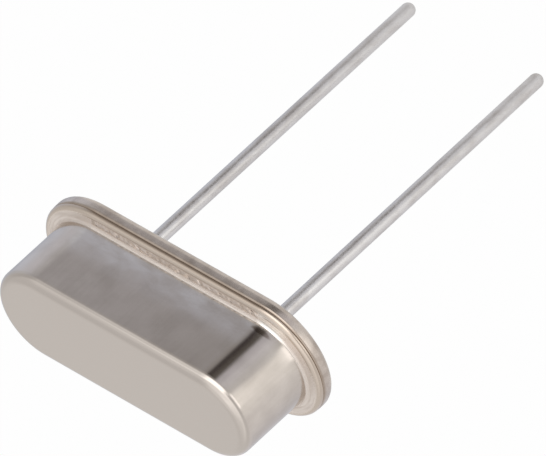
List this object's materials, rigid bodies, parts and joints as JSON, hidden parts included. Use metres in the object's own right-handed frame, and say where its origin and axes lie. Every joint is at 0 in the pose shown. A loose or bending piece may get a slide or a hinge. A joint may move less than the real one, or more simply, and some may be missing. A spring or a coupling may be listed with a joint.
{
  "type": "crystal oscillator",
  "caption": "Low-profile quartz crystal unit: a drawn metal can with rounded ends welded to a flanged header, with parallel wire leads through glass seals.",
  "frame": {"origin": "middle of the header's flat underside, midway between the two leads", "axes": "+Z from the seating plane towards the can's flat top, X along the can's length and through both leads, the leads point to -Z"},
  "size_m": [0.0104, 0.0042, 0.0157],
  "materials": {
    "can_nickel_plate": "satin nickel plate, slightly warm, with fine drawing marks",
    "header_nickel_plate": "satin nickel plate",
    "seal_glass": "fused dark glass",
    "tinned_wire": "hot-dipped tin, finely grained",
    "quartz": "lapped and etched quartz",
    "silver_film": "evaporated silver",
    "spring_strip": "rolled spring strip",
    "silver_epoxy": "matt silver-filled resin"
  },
  "bodies": {
    "root": {"can": "can_nickel_plate", "header": "header_nickel_plate", "seal_left": "seal_glass", "seal_right": "seal_glass", "lead_left": "tinned_wire", "lead_right": "tinned_wire", "blank": "quartz", "electrode_top": "silver_film", "electrode_bottom": "silver_film", "clip_left": "spring_strip", "clip_right": "spring_strip", "bond_left": "silver_epoxy", "bond_right": "silver_epoxy"}
  },
  "joints": []
}
